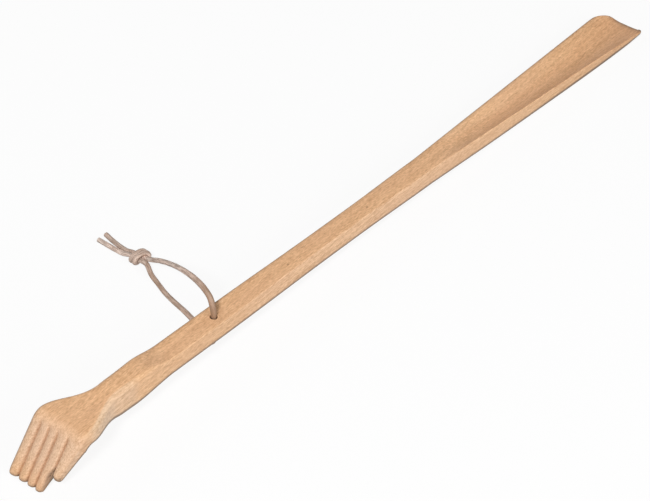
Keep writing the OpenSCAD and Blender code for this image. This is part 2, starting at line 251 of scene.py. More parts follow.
# Beech colours and tints. SHADE_WOOD, and the dark wood colour in the grooves and the hole, are painted shade.
# The fingers' tint is across-grain wood with painted sheen in it, and the blade's tint is partly painted shade.
# The side's tints, on surfaces that face the thumb's side, are painted light and shade as well as the wood's tone.
# They run from the knuckles to the blade: a painted shade below the knuckles, the pale sanded facet on the palm and
# wrist, which ends in a step, the wrist, and the cooler shaft.
PALE_WOOD, WARM_WOOD, PATCH_WOOD = (0.93, 0.575, 0.322, 1), (0.56, 0.30, 0.142, 1), (0.72, 0.42, 0.25, 1)
DARK_WOOD_AND_SHADE, SHADE_WOOD = (0.38, 0.19, 0.09, 1), (0.12, 0.08, 0.055, 1)
ACROSS_GRAIN_SHEEN_TINT, BLADE_TONE_AND_SHADE = (0.96, 1.08, 1.29, 1), (0.9, 0.85, 0.81, 1)
SIDE_FROM, SIDE_TO = -0.25, 0.15
SIDE_LIGHT_TINTS = (
    (0.025, (0.87, 0.86, 0.85, 1)),
    (0.05, (1.0, 1.17, 1.38, 1)), (0.085, (1.04, 1.24, 1.5, 1)),
    (0.12, (0.96, 1.08, 1.23, 1)), (0.14, (0.96, 1.08, 1.23, 1)),
    (0.155, (0.98, 1.02, 1.04, 1)), (0.32, (0.95, 0.99, 1.03, 1)),
    (0.4, (0.98, 1.04, 1.14, 1)), (0.7, (0.98, 1.05, 1.17, 1)), (0.95, (0.98, 1.03, 1.06, 1)))

# Middles of the two pin knots on the shaft's face, their stretch along the grain, and the reach their dark fades over
PIN_KNOTS = ((-0.0632, -0.0028, 0.0210), (0.0060, -0.0027, 0.0179))
PIN_STRETCH, PIN_CORE, PIN_RIM = (0.7, 1.0, 1.0), 0.0003, 0.0008


def beech_material(group):
    """Pale steamed beech, sanded and oiled: faint growth rings and fibre streaks along x, short flecks and dark pore
    dashes, warmer patches, two pin knots, pinker, paler wood where the fingers cut across the grain, with painted
    sheen in it, darker, redder wood towards the shoehorn's end, partly painted shade, tints on the surfaces that face
    the thumb's side, painted light and shade as well as the wood's own tone, painted shade where the marks say so, and
    a little more gloss between the fibres than on them."""
    material, tree, shader = new_material("oiled_beech")
    place = add(tree, "ShaderNodeTexCoord").outputs["Object"]
    along_x = add(tree, "ShaderNodeSeparateXYZ", Vector=place).outputs[0]
    pith = add(tree, "ShaderNodeMapping", Vector=place, Location=(0.0, 0.034, 0.05), Rotation=(0.0, 0.012, 0.018))
    rings = add(tree, "ShaderNodeTexWave", {"wave_type": "RINGS", "rings_direction": "X", "wave_profile": "SAW"},
                Vector=pith.outputs[0], Scale=95.0, Distortion=3.0, Detail=2.0, Detail_Scale=0.5)
    streaks = grain(tree, group, place, (7.0, 330.0, 330.0), 3.0)
    fibres = grain(tree, group, place, (60.0, 1000.0, 1000.0), 2.0)
    flecks = grain(tree, group, place, (400.0, 1350.0, 1350.0), 1.0)
    pores = grain(tree, group, place, (300.0, 1600.0, 1600.0), 1.0)
    patches = grain(tree, group, place, (11.0, 45.0, 45.0), 2.0)

    tone = maths(tree, "MULTIPLY", rings.outputs[1], 0.2)
    for layer, share in ((streaks, 0.5), (fibres, 0.7), (flecks, 1.5)):
        tone = maths(tree, "ADD", tone, maths(tree, "MULTIPLY", layer["Value"], share))
    colour = blend_colours(tree, spread(tree, tone, 0.95, 1.95), PALE_WOOD, WARM_WOOD)
    colour = blend_colours(tree, spread(tree, patches["Value"], 0.4, 0.66, 0.0, 0.35), colour, PATCH_WOOD)

    # paler, pinker tint on the fingers: across-grain wood with painted sheen in it
    past_knuckles, at_tips = spread(tree, along_x, -0.236, -0.244), spread(tree, along_x, -0.253, -0.262, 0.0, 0.7)
    across_grain_and_sheen = maths(tree, "SUBTRACT", past_knuckles, at_tips)
    colour = blend_colours(tree, across_grain_and_sheen, colour, ACROSS_GRAIN_SHEEN_TINT, "MULTIPLY")
    # darker and redder towards the shoehorn's end: partly the wood's tone, partly painted shade
    colour = blend_colours(tree, spread(tree, along_x, 0.14, 0.255), colour, BLADE_TONE_AND_SHADE, "MULTIPLY")
    colour = blend_colours(tree, maths(tree, "MULTIPLY", pores["Peaks"], 0.45), colour, DARK_WOOD_AND_SHADE)
    for spot in PIN_KNOTS:
        reach = vector_maths(tree, "SUBTRACT", place, spot)["Vector"]
        drawn = vector_maths(tree, "MULTIPLY", reach, PIN_STRETCH)["Vector"]
        far = vector_maths(tree, "LENGTH", drawn)["Value"]
        colour = blend_colours(tree, spread(tree, far, PIN_CORE, PIN_RIM, 0.85, 0.0), colour, DARK_WOOD_AND_SHADE)

    shade, hollow_shade, side = marks_of(tree)
    # painted light and shade: tints on the surfaces that face the thumb's side, partly the wood's own tone
    side_light_tint = ramp(tree, spread(tree, along_x, SIDE_FROM, SIDE_TO), SIDE_LIGHT_TINTS)
    colour = blend_colours(tree, side, colour, side_light_tint, "MULTIPLY")
    # painted shade in the grooves and down the cord hole, in the dark wood colour
    colour = blend_colours(tree, maths(tree, "MULTIPLY", hollow_shade, 0.6), colour, DARK_WOOD_AND_SHADE)
    # painted shade at the ends, the far side, the lower edges and the free sides of thumb and index finger
    colour = blend_colours(tree, shade, colour, SHADE_WOOD)

    roughness = spread(tree, fibres["Value"], 0.3, 0.7, 0.44, 0.58)
    height = maths(tree, "SUBTRACT", maths(tree, "MULTIPLY", flecks["Value"], 0.5), pores["Peaks"])
    finish_surface(tree, shader, colour, roughness, height, strength=0.15, depth=0.0002, gloss=0.36)
    return material


PINK_LEATHER, GREY_LEATHER = (0.86, 0.64, 0.53, 1), (0.73, 0.605, 0.525, 1)
LINE_LEATHER, PEBBLE_LEATHER = (0.32, 0.235, 0.19, 1), (0.74, 0.60, 0.52, 1)
# painted shade: the colours of the shaded leather along the cord and inside the hole
SHADED_LEATHER, HOLE_SHADE_LEATHER = (0.28, 0.162, 0.093, 1), (0.1, 0.06, 0.04, 1)


def cord_material(group):
    """Round taupe leather cord: fine lines along it, a pebbled skin, a tone that drifts from pinkish to grey, and
    painted shade, darker leather along parts of the cord and inside the hole."""
    material, tree, shader = new_material("taupe_leather")
    run = add(tree, "ShaderNodeUVMap", {"uv_map": "run"}).outputs[0]
    lines = grain(tree, group, run, (160.0, 9.0, 1.0), 3.0)
    pebbles = grain(tree, group, run, (2600.0, 22.0, 1.0), 2.0)
    drift = grain(tree, group, run, (55.0, 1.5, 1.0), 1.0)
    painted_shade, in_hole, _ = marks_of(tree)
    colour = blend_colours(tree, spread(tree, drift["Value"], 0.35, 0.65), PINK_LEATHER, GREY_LEATHER)
    colour = blend_colours(tree, spread(tree, lines["Value"], 0.4, 0.6, 0.0, 0.8), colour, LINE_LEATHER)
    colour = blend_colours(tree, maths(tree, "MULTIPLY", pebbles["Peaks"], 0.3), colour, PEBBLE_LEATHER)
    # painted shade along parts of the cord
    colour = blend_colours(tree, painted_shade, colour, SHADED_LEATHER)
    # painted shade inside the hole
    colour = blend_colours(tree, maths(tree, "MULTIPLY", in_hole, 0.6), colour, HOLE_SHADE_LEATHER)

    roughness = spread(tree, pebbles["Value"], 0.3, 0.7, 0.5, 0.68)
    ridges, bumps = maths(tree, "MULTIPLY", lines["Value"], 0.7), maths(tree, "MULTIPLY", pebbles["Value"], 0.5)
    height = maths(tree, "ADD", ridges, bumps)
    finish_surface(tree, shader, colour, roughness, height, strength=0.35, depth=0.0003, gloss=0.35)
    return material


# The cord. Its route repeats the part's own points, from the spot on the table below the hole, in millimetres.

LIE_Z = CORD_D / 2 + 0.1
HOLE_SPOT = np.array([-123.849, -1.95, LIE_Z])
BORE_UP = np.array([np.sin(TILT), 0.0, np.cos(TILT)])
KNOT_AT = HOLE_SPOT + np.array([25.9, 79.3, 3.7])
FRONT_POINTS = np.array([
    [1.9, 3.1, 32], [3.2, 7.9, 34.5], [4.5, 13.6, 35.5], [6.4, 20.7, 34.5], [8.9, 26.8, 33], [11.4, 32.8, 30],
    [14.4, 40.3, 26.5], [16.9, 47.3, 22], [20.4, 54.8, 17], [23.4, 62.3, 12], [25.4, 67.3, 8]])
BACK_POINTS = np.array([
    [0, 1, 4], [0.8, 3.8, 1], [1.9, 7.8, 0], [4.9, 14.8, 0], [8.4, 22.8, 0], [10.4, 29.8, 0],
    [11.9, 36.8, 0], [13.4, 43.3, 0], [15.4, 50.8, 0], [18.4, 58.8, 0], [21, 66.2, 0.8]])
NEAR_POINTS = np.array([[23.9, 90.8, 1], [24.1, 97.3, 0.3], [24.3, 103.8, 0], [24.4, 110.3, 0]])
FAR_POINTS = np.array([[27.2, 90.8, 0.7], [27.9, 97.3, 0.2], [29, 103.8, 0], [30.4, 110.3, 0]])

# Each strand through the knot, from the knot's middle: under the turn, out to one side, over the top, under again
# and out to its loose end. Both turns lie side by side on a slant, half a millimetre lower than the part's knot.
FRONT_IN_KNOT = np.array([
    [1.1, -6, 1.1], [1.3, -3.2, 0.2], [0.4, -0.6, -1.0], [-2.6, 0.3, -2.4], [-4.6, 0.0, -0.4], [-3.4, -0.55, 2.1],
    [0, -1.25, 2.9], [3.4, -1.95, 2.1], [4.6, -2.6, -0.3], [3.0, -2.2, -2.6], [1.2, 0.2, -2.8], [1.3, 3.2, -2.2],
    [1.5, 6, -1.2]])
BACK_IN_KNOT = np.array([
    [-1.1, -6, -1.1], [-1.4, -3.2, -0.4], [-1.5, 0.2, -0.7], [-2.9, 2.4, -2.1], [-4.6, 2.6, -0.3], [-3.4, 1.95, 2.1],
    [0, 1.25, 2.9], [3.4, 0.55, 2.1], [4.6, -0.05, -0.3], [3.0, 0.8, -2.6], [0.4, 2.2, -2.8], [-1.2, 4.2, -1.9],
    [-1.5, 6, -0.8]])
KNOT_SITS = np.array([0, 0, -0.5])

# Runs along each half from the middle of the hole, and the share of painted shade on the leather there
FRONT_CORD_SHADE = (0, 8, 22, 34, 48, 105, 118, 127, 140), (0.95, 0.9, 0.7, 0.32, 0.0, 0.06, 0.36, 0.0, 0.3)
BACK_CORD_SHADE = (0, 62, 78, 99, 109, 116), (0.45, 0.48, 0.7, 0.1, 0.35, 0.0)

# The tube: points in a ring, step between rings, and the swelling outside the hole as a share, with the runs it
# grows and fades over, and the run the hole's painted shade fades over. A pair that falls counts down from the first.
# The cut end has three more rings: how far past the end, share of the radius, and extra run.
RING_COUNT, RING_STEP = 20, 0.6
SWELLING, SWELL_GROWS, SWELL_FADES, HOLE_SHADE_FADES = 0.17, (4.5, 11), (62, 22), (7, 4.5)
END_PAST, END_SHARE, END_RUN = np.array([0.04, 0.1, 0.14]), np.array([0.97, 0.88, 0.02]), np.array([0.1, 0.3, 1.4])


def run_along(points):
    """Length along a line of points, from its start to each."""
    return np.concatenate([[0], np.cumsum(np.linalg.norm(np.diff(points, axis=0), axis=1))])


def eased(points):
    """The points moved onto a smooth curve: along, across and up as polynomials of the fifth power of the run, with
    both ends weighted so that they stay."""
    run = run_along(points)
    run /= run[-1]
    weight = np.ones(len(points))
    weight[[0, -1]] = 6
    return np.stack([np.polyval(np.polyfit(run, points[:, i], 5, w=weight), run) for i in range(3)], 1)


def bore_point(up):
    """A point on the hole's axis, up from the shaft's mid-plane, in the part's frame."""
    middle = lay_down(np.array([HOLE_X, -HOLE_OFF, 0.0])) / MM
    return middle + up * BORE_UP


def smooth_path(points, step):
    """Centripetal Catmull-Rom curve through the points, resampled to even steps along its length."""
    p = np.vstack([2 * points[0] - points[1], points, 2 * points[-1] - points[-2]])
    knots = np.concatenate([[0], np.cumsum(np.sqrt(np.linalg.norm(np.diff(p, axis=0), axis=1)))])
    t = np.linspace(knots[1], knots[-2], 60 * len(points))
    k = np.clip(np.searchsorted(knots, t, side="right") - 1, 1, len(p) - 3)
    k0, k1, k2, k3 = (knots[k + i][:, None] for i in (-1, 0, 1, 2))
    p0, p1, p2, p3 = (p[k + i] for i in (-1, 0, 1, 2))
    t = t[:, None]
    a1 = (k1 - t) / (k1 - k0) * p0 + (t - k0) / (k1 - k0) * p1
    a2 = (k2 - t) / (k2 - k1) * p1 + (t - k1) / (k2 - k1) * p2
    a3 = (k3 - t) / (k3 - k2) * p2 + (t - k2) / (k3 - k2) * p3
    b1 = (k2 - t) / (k2 - k0) * a1 + (t - k0) / (k2 - k0) * a2
    b2 = (k3 - t) / (k3 - k1) * a2 + (t - k1) / (k3 - k1) * a3
    line = (k2 - t) / (k2 - k1) * b1 + (t - k1) / (k2 - k1) * b2
    run = run_along(line)
    even = np.linspace(0, run[-1], int(run[-1] / step) + 2)
    return np.stack([np.interp(even, run, line[:, i]) for i in range(3)], 1), run[-1]


def carried_frames(tangent):
    """Side vectors along a path, each turned from the last by the least turn that follows the path."""
    sides = np.empty_like(tangent)
    side = np.cross(tangent[0], [1.0, 0.0, 0.0])
    for i, t in enumerate(tangent):
        side = side - t * (side @ t)
        side = side / np.linalg.norm(side)
        sides[i] = side
    return sides, np.cross(tangent, sides)


def cord_half(name, points, material, painted_shade):
    """Half the cord as a tube: a ring of points carried along the path, its radius drawn in at the cut end over the
    last rings, which close on a small flat, fuller by a sixth just outside the hole that squeezes it, and varying by
    a fiftieth along the cord, by a product of two sines, as leather does. The table of runs it is given holds the
    share of painted shade on the leather by the run."""
    path, length = smooth_path(points, RING_STEP)
    tangent = np.gradient(path, axis=0)
    tangent /= np.linalg.norm(tangent, axis=1)[:, None]
    side, other = carried_frames(tangent)
    run = np.linspace(0, length, len(path))
    uneven = 0.02 * np.sin(run * 0.41) * np.sin(run * 0.173 + 1.0)
    swollen = SWELLING * smooth(along(run, *SWELL_FADES)) * smooth(along(run, *SWELL_GROWS))
    radius = CORD_D / 2 * (0.98 + uneven + swollen)
    path[:, 2] += np.maximum(0, radius - CORD_D / 2)
    centre = path * MM

    path = np.vstack([path, path[-1] + tangent[-1] * END_PAST[:, None]])
    side, other = (np.vstack([v, np.repeat(v[-1:], len(END_PAST), 0)])[:, None] for v in (side, other))
    radius = np.concatenate([radius, radius[-1] * END_SHARE])
    run = np.concatenate([run, length + END_RUN])
    turn = np.linspace(0, 2 * np.pi, RING_COUNT, endpoint=False)[:, None]
    rings = path[:, None] + radius[:, None, None] * (np.cos(turn) * side + np.sin(turn) * other)
    cord_shades = np.zeros((len(run), RING_COUNT, 3))
    # painted shade along the cord, by the run
    cord_shades[..., 0] = np.interp(run, *painted_shade)[:, None]
    # painted shade inside the hole, fading out past its mouth
    cord_shades[..., 1] = smooth(along(run, *HOLE_SHADE_FADES))[:, None]

    i, k = np.meshgrid(np.arange(len(path) - 1), np.arange(RING_COUNT), indexing="ij")
    this, after = i * RING_COUNT, (i + 1) * RING_COUNT
    beside = (k + 1) % RING_COUNT
    quads = np.stack([this + k, this + beside, after + beside, after + k], -1).reshape(-1, 4)
    v = np.stack([k, k + 1, k + 1, k], -1) / RING_COUNT
    u = np.stack([run[i], run[i], run[i + 1], run[i + 1]], -1) * MM
    piece = make_piece(name, rings.reshape(-1, 3) * MM, quads, material, "cord", cord_shades.reshape(-1, 3),
                       np.stack([u, v], -1).reshape(-1, 2))
    return piece, centre, length * MM


def make_cord(material):
    """The cord is one length: its two halves meet in the middle of the hole, and each runs through the knot to its
    own cut end."""
    knot = KNOT_AT + KNOT_SITS
    front = np.vstack([bore_point(0), bore_point(4),
                       eased(np.vstack([bore_point(FACE_Z + 2), HOLE_SPOT + FRONT_POINTS])),
                       knot + FRONT_IN_KNOT, HOLE_SPOT + FAR_POINTS])
    back = np.vstack([bore_point(0), bore_point(-4), bore_point(-FACE_Z - 2), HOLE_SPOT + BACK_POINTS[:2],
                      eased(HOLE_SPOT + BACK_POINTS[2:]), knot + BACK_IN_KNOT, HOLE_SPOT + NEAR_POINTS])
    front_nodes = "cord_front", "cord_tail_far", "cord_in_hole", "cord_knot"
    back_nodes = "cord_back", "cord_tail_near"
    for name, points, mouth, painted_shade, nodes in (("cord_face_half", front, FACE_Z, FRONT_CORD_SHADE, front_nodes),
                                             ("cord_back_half", back, -FACE_Z, BACK_CORD_SHADE, back_nodes)):
        piece, path, length = cord_half(name, points, material, painted_shade)
        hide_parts(*nodes)


# The stick


def flare(x):
    """Width along x: the hand's, eased to the shaft's, a slimmer middle, and the blade's straight flare."""
    hand = mix(HAND_W, SHAFT_W, along(x, PALM_LEN, PALM_END))
    shaft = mix(SHAFT_W, SLIM_W, along(x, HOLE_X, SLIM_FROM))
    widened = mix(SLIM_W, SHAFT_W, along(x, SLIM_TO, BLADE_START))
    blade = widened + (BLADE_W - SHAFT_W) * clamp(along(x, BLADE_START, FLARE_END))
    return np.where(x < PALM_END, hand, np.where(x < SLIM_TO, shaft, blade))


def face_at(x):
    """Height of the face: from the knuckles up to the wrist, then down to the shaft."""
    hand = mix(KNUCKLE_RISE, WRIST_RISE, along(x, RISE_FROM, RISE_TO))
    return FACE_Z + np.where(x < RISE_TO, hand, mix(WRIST_RISE, 0.0, along(x, WRIST_END, SHAFT_START)))


def back_at(x):
    """Height of the back: thick at the wrist, level along the shaft, rising evenly along the blade, and by a square
    on top of that towards its end."""
    palm_z, wrist_z = FACE_Z + KNUCKLE_RISE - HAND_T, FACE_Z + WRIST_RISE - WRIST_T
    hand = mix(palm_z, wrist_z, along(x, THICKEN_FROM, THICKEN_TO))
    rest = mix(wrist_z, -FACE_Z, along(x, SETTLE_FROM, SHAFT_START))
    thinned = (BLADE_TAPER * clamp(along(x, BLADE_START, BODY_LEN))
               + (SHAFT_T - BLADE_TAPER - BLADE_TIP_T) * clamp(along(x, THIN_START, BODY_LEN)) ** 2)
    return np.where(x < THICKEN_TO, hand, rest + thinned)


def trough_at(x):
    """Depth of the shoehorn's trough: it eases in from the shaft and gets shallower at the end."""
    return (TROUGH_DEPTH * smooth(along(x, TROUGH_START, TROUGH_FULL))
            - (TROUGH_DEPTH - TROUGH_END_DEPTH) * smooth(along(x, TROUGH_FADE, BODY_LEN)))


def edge_drop(y, half, r, h):
    """Fall of a rounded edge of width r and height h, for a strip of the given half width."""
    return h * arc_drop((np.abs(y) - half + r) / r)


# Columns across the skin, from the thumb's edge to the little finger's, closer together at each digit's edges
STEPS = 18
PLACE = 0.5 - 0.5 * np.cos(np.pi * np.arange(STEPS) / STEPS)
DIGIT = np.append(np.repeat(np.arange(5), STEPS), 4)
ACROSS = np.append(np.tile(PLACE, 5), 1.0)
DIGIT_START = np.cumsum(DIGIT_W) - DIGIT_W - HAND_W / 2
COLUMN_Y = DIGIT_START[DIGIT] + ACROSS * DIGIT_W[DIGIT]
GROOVE_Y = DIGIT_START[1:]
THUMB, INDEX = DIGIT == 0, DIGIT == 1

# The bend over the knuckles, as (x, z) points
KNUCKLE = np.array([0.0, FACE_Z + KNUCKLE_RISE])
BEND_DIR = np.array([np.sin(FINGER_BEND / 2), -np.cos(FINGER_BEND / 2)])
FINGER_DIR = -np.array([np.cos(FINGER_BEND), np.sin(FINGER_BEND)])
BEND_RUN = KNUCKLE_R * np.tan(FINGER_BEND / 2)
THROUGH_HAND = BEND_DIR * HAND_T / np.cos(FINGER_BEND / 2)
BEND_CENTRE = KNUCKLE + BEND_DIR * KNUCKLE_R / np.cos(FINGER_BEND / 2)
FINGER_ROOT, FINGER_TIP = KNUCKLE + FINGER_DIR * BEND_RUN, KNUCKLE + FINGER_DIR * FINGER_LEN
PALM_ROOT = FINGER_ROOT + THROUGH_HAND
PALM_TIP = FINGER_TIP + np.array([np.sin(FINGER_BEND), -np.cos(FINGER_BEND)]) * TIP_T

# How far each column reaches past the knuckles: rounded tips, whose far corners fall more on the thumb and the little
# finger, with a notch at each groove, which is deepest beside the thumb
FINGER_REACH, THUMB_REACH = FINGER_LEN - BEND_RUN, THUMB_LEN - BEND_RUN
TIP_ROUND, FAR_TIP = 1.8, np.array([3.6, 1.0, 1.0, 1.0, 2.6])
THUMB_NOTCH, FINGER_NOTCH = 8.6, 2.2
OVER_TIP = 2 * ACROSS ** np.where(THUMB, 1.0, 1.4) - 1
TIP_FALL = TIP_ROUND * np.where(OVER_TIP > 0, FAR_TIP[DIGIT], 1.0)
REACH = np.where((ACROSS == 0) & ~THUMB,
                 np.where(INDEX, THUMB_REACH - THUMB_NOTCH, FINGER_REACH - FINGER_NOTCH),
                 np.where(THUMB, THUMB_REACH, FINGER_REACH) - TIP_FALL * (1 - np.sqrt(1 - np.abs(OVER_TIP) ** 3)))

# Each groove is steep on the little finger's side and falls gently on the thumb's side
GROOVE_GAP = COLUMN_Y[:, None] - GROOVE_Y
GROOVE_FALL = np.where(GROOVE_GAP > 0, (np.abs(GROOVE_GAP) / 0.5) ** 1.7, (np.abs(GROOVE_GAP) / 1.3) ** 1.15)
GROOVE = GROOVE_DEPTH * np.exp(-GROOVE_FALL).max(1)

# Shares of a digit's length: where its tip starts to round, the tip itself, and the root, where rings lie closer. Then
# how far face and back draw together at an end, and the rounding of the index finger's free side, high and wide.
TIP_FROM, TIP_SHARE, ROOT_TO = 0.9, 0.1, 0.12
END_CLOSE, FREE_SIDE_H, FREE_SIDE_W = 0.96, 1.3, 2.2

# The shoehorn's end: the bow of its outline and its lean, eased in over a length, the rim's edge, the places where
# the back's edges grow rounder, by a width and a height, where the near corner starts to fall, and the closing lip
END_BOW, BOW_LEAN, END_EASE = 1.2, 0.9, 40.0
RIM_EDGE, RIM_EASE = 0.6, 40.0
ROUND_FROM, ROUND_TO, ROUND_W, ROUND_H = BLADE_START + 40, BLADE_START + 150, 2.6, 2.2
FALL_FROM, LIP_FROM = BODY_LEN - 60, BODY_LEN - 1.6


def groove_share(d):
    """Share of the grooves' full depth, by the distance past the knuckles."""
    return smooth(along(d, -3.0, 3.5))


def past_thumb(run):
    """Share by which the index finger's and the thumb's sides are free of each other, by the run along them."""
    return smooth(along(run, THUMB_REACH - 7, THUMB_REACH - 2))


def rows(top, back, y, face_depth, back_depth, close):
    """Face and back points of each ring: each lies at its depth on the line from the face's point to the back's,
    and both draw together to the middle by the share close."""
    span = np.linalg.norm(back - top, axis=-1)
    middle = (face_depth + span - back_depth) / 2
    far = span - back_depth
    made = []
    for depth in (face_depth + (middle - face_depth) * close, far + (middle - far) * close):
        p = top + (back - top) * (depth / span)[..., None]
        made.append(np.stack([p[..., 0], y, p[..., 1]], -1))
    return made


def finger_rows(u):
    """The five digits, u from their tips at 1 to the knuckles at 0: straight, thinning, grooved between, with
    rounded tips, and with the index finger's free side rounded past the thumb."""
    u = u[:, None]
    run = u * REACH
    part = (run / FINGER_REACH)[..., None]
    thumb, little = GROOVE_Y[0], GROOVE_Y[3]
    y = np.where(COLUMN_Y < thumb, COLUMN_Y - THUMB_DRAW * u * (COLUMN_Y - thumb) / (HAND_W / 2 + thumb),
                 COLUMN_Y + LITTLE_SPREAD * u * np.maximum(0, COLUMN_Y - little) / (HAND_W / 2 - little))
    y = y + INDEX_DRAW * (1 - ACROSS) * INDEX * smooth(along(run, THUMB_REACH - 6, THUMB_REACH + 1))
    half = HAND_W / 2 + np.where(y < 0, -THUMB_DRAW * u, LITTLE_SPREAD * u)
    free_side = FREE_SIDE_H * arc_drop(1 - ACROSS * DIGIT_W[1] / FREE_SIDE_W) * (past_thumb(run) * INDEX)
    face_depth = edge_drop(y, half, HAND_EDGE, HAND_EDGE) + groove_share(u * FINGER_REACH) * GROOVE + free_side
    back_edge = np.minimum(HAND_EDGE + 0.5, 0.4 * TIP_T + 1.5 * (1 - u))
    back_depth = edge_drop(y, half, HAND_EDGE + 1, back_edge) + free_side
    return rows(FINGER_ROOT + (FINGER_TIP - FINGER_ROOT) * part, PALM_ROOT + (PALM_TIP - PALM_ROOT) * part,
                y + HAND_SHIFT, face_depth, back_depth, END_CLOSE * arc_drop(along(u, TIP_FROM, 1)))


def flat_rows(top, back, y, half, edge, shift, groove=0.0):
    """Rings with a flat face and back, alike rounded edges, and the grooves at a share of their depth."""
    drop = edge_drop(y, half, edge, edge)
    shape = y.shape + (2,)
    return rows(np.broadcast_to(top[:, None], shape), np.broadcast_to(back[:, None], shape), y + shift,
                drop + groove * GROOVE, drop, 0.0)


def knuckle_rows(t):
    """A round bend of the face over the knuckles, with the palm's line kept one hand's thickness below."""
    a = FINGER_BEND * (1 - t)
    top = BEND_CENTRE + KNUCKLE_R * np.stack([-np.sin(a), np.cos(a)], -1)
    y = np.broadcast_to(COLUMN_Y, (len(t), len(COLUMN_Y)))
    return flat_rows(top, top + THROUGH_HAND, y, HAND_W / 2, HAND_EDGE, HAND_SHIFT,
                     groove_share(-KNUCKLE_R * FINGER_BEND * t)[:, None])


def palm_rows(t):
    """The back of the hand, from its full width to the wrist, its rings turning upright on the way."""
    start = BEND_RUN + THROUGH_HAND[0]
    top_x, back_x = BEND_RUN + (PALM_END - BEND_RUN) * t, start + (PALM_END - start) * t
    half = flare((top_x + back_x) / 2)[:, None] / 2
    return flat_rows(np.stack([top_x, face_at(top_x)], -1), np.stack([back_x, back_at(back_x)], -1),
                     COLUMN_Y * 2 * half / HAND_W, half, mix(HAND_EDGE, WRIST_EDGE, 2 * t)[:, None],
                     mix(HAND_SHIFT, 0.0, t)[:, None])


def body_rows(x):
    """Wrist, shaft and shoehorn: a flat strip with rounded edges, whose face sinks to a parabola in the blade, with
    two rounded end corners, a skewed end and a thin closing lip."""
    x = x[:, None]
    left, right = (flare(x) / 2 - r * arc_drop(along(x, BODY_LEN - r, BODY_LEN)) for r in (FAR_CORNER, NEAR_CORNER))
    v = 2 * COLUMN_Y / HAND_W
    half = np.where(v < 0, right, left)
    y = v * half
    at_end = smooth(along(x, BODY_LEN - END_EASE, BODY_LEN))
    xs = x + at_end * (END_BOW * (1 - v * v) * (1 + BOW_LEAN * v) - END_SKEW * v)
    edge = mix(WRIST_EDGE, SHAFT_EDGE, along(x, SHARPEN_FROM, SHAFT_START))
    rim = mix(edge, RIM_EDGE, along(x, BLADE_START, BLADE_START + RIM_EASE))
    round_back = smooth(along(x, ROUND_FROM, ROUND_TO))
    back_w = np.minimum(edge + ROUND_W * round_back, 0.9 * right)
    back_h = np.minimum(edge + ROUND_H * round_back, 0.6 * (face_at(x) - back_at(x)))
    trough = trough_at(x) * (1 - clamp(np.abs(y) / (half - rim)) ** 2)
    fall = CORNER_FALL * clamp(along(x, FALL_FROM, BODY_LEN)) ** 2 * clamp(-v) ** 2
    face, back = (np.broadcast_to(z(x), xs.shape) for z in (face_at, back_at))
    return rows(np.stack([xs, face], -1), np.stack([xs, back], -1), y,
                np.maximum(edge_drop(y, half, rim, rim), trough) + fall, edge_drop(y, half, back_w, back_h),
                END_CLOSE * arc_drop(along(x, LIP_FROM, BODY_LEN)))


# The square of the grid round the hole, as half its length and width, how far its patch goes to the round in one
# step, and the rounding of the hole's mouth
PATCH_L, PATCH_W, PATCH_STEP, MOUTH_R = 4.5, 4.2, 0.55, 0.35


def ring_places():
    """Where the rings lie: u along the digits, x along the body, and those of x that are beside the hole."""
    by_hole = np.linspace(HOLE_X - PATCH_L, HOLE_X + PATCH_L, 15)
    corner = BODY_LEN - FAR_CORNER
    x = np.concatenate([
        np.linspace(PALM_END, SHAFT_START, 50)[1:], np.linspace(SHAFT_START, by_hole[0], 14)[1:-1], by_hole,
        np.linspace(by_hole[-1], BLADE_START, 50)[1:], np.linspace(BLADE_START, corner, 100)[1:],
        corner + FAR_CORNER * np.sin(np.radians(np.linspace(0, 90, 40)[1:]))])
    u = np.concatenate([
        TIP_FROM + TIP_SHARE * np.sin(np.radians(np.linspace(90, 0, 16)[:-1])),
        np.linspace(TIP_FROM, ROOT_TO, 40), np.linspace(ROOT_TO, 0, 16)[1:]])
    return u, x, by_hole


def hole_rings(face_loop, back_loop):
    """Rings of points from a square loop on the face to the round mouth, over its rounding, down the bore, and the
    same way out to the loop on the back."""
    angle = np.arctan2(face_loop[:, 1] + HOLE_OFF, face_loop[:, 0] - HOLE_X)

    def circle(r, z):
        return np.stack([HOLE_X + r * np.cos(angle), r * np.sin(angle) - HOLE_OFF, np.full_like(angle, z)], -1)

    wide = HOLE_D / 2 + MOUTH_R
    mouth = [circle(wide - MOUTH_R * np.sin(a), FACE_Z - MOUTH_R * (1 - np.cos(a)))
             for a in np.radians(np.linspace(0, 90, 5))]
    first, last = (loop * (1 - PATCH_STEP) + circle(wide, z) * PATCH_STEP
                   for loop, z in ((face_loop, FACE_Z), (back_loop, -FACE_Z)))
    turned_over = [ring * np.array([1, 1, -1]) for ring in mouth[::-1]]
    return [first, *mouth, circle(HOLE_D / 2, 0.0), *turned_over, last]


def side_rows(face, back):
    """One row of points down each side: low on the thumb's side, lower still on the hand, and a millimetre below the
    face on the little finger's side."""
    tall = np.linalg.norm(face - back, axis=-1)[..., None]
    lift = 1.6 - 0.7 * smooth(along(face[:, :1, 0], SHAFT_START, PALM_END))
    near = back[:, 0] + (face - back)[:, 0] * np.minimum(0.5, lift / tall[:, 0])
    far = face[:, -1] + (back - face)[:, -1] * np.minimum(0.5, 1.0 / tall[:, -1])
    return near, far


def grid_quads(index):
    """Quads over a grid of point numbers, facing up where rows run along x and columns along y."""
    return np.stack([index[:-1, :-1], index[1:, :-1], index[1:, 1:], index[:-1, 1:]], -1).reshape(-1, 4)


def normals_of(points, quads):
    """Outward normals at the points: the mean of the normals of the quads round each, weighted by their areas."""
    a, b, c, d = (points[quads[:, i]] for i in range(4))
    face_normal = np.cross(c - a, d - b)
    total = np.stack([np.bincount(quads.ravel(), np.repeat(face_normal[:, i], 4), len(points)) for i in range(3)], 1)
    return total / np.maximum(np.linalg.norm(total, axis=1), 1e-12)[:, None]


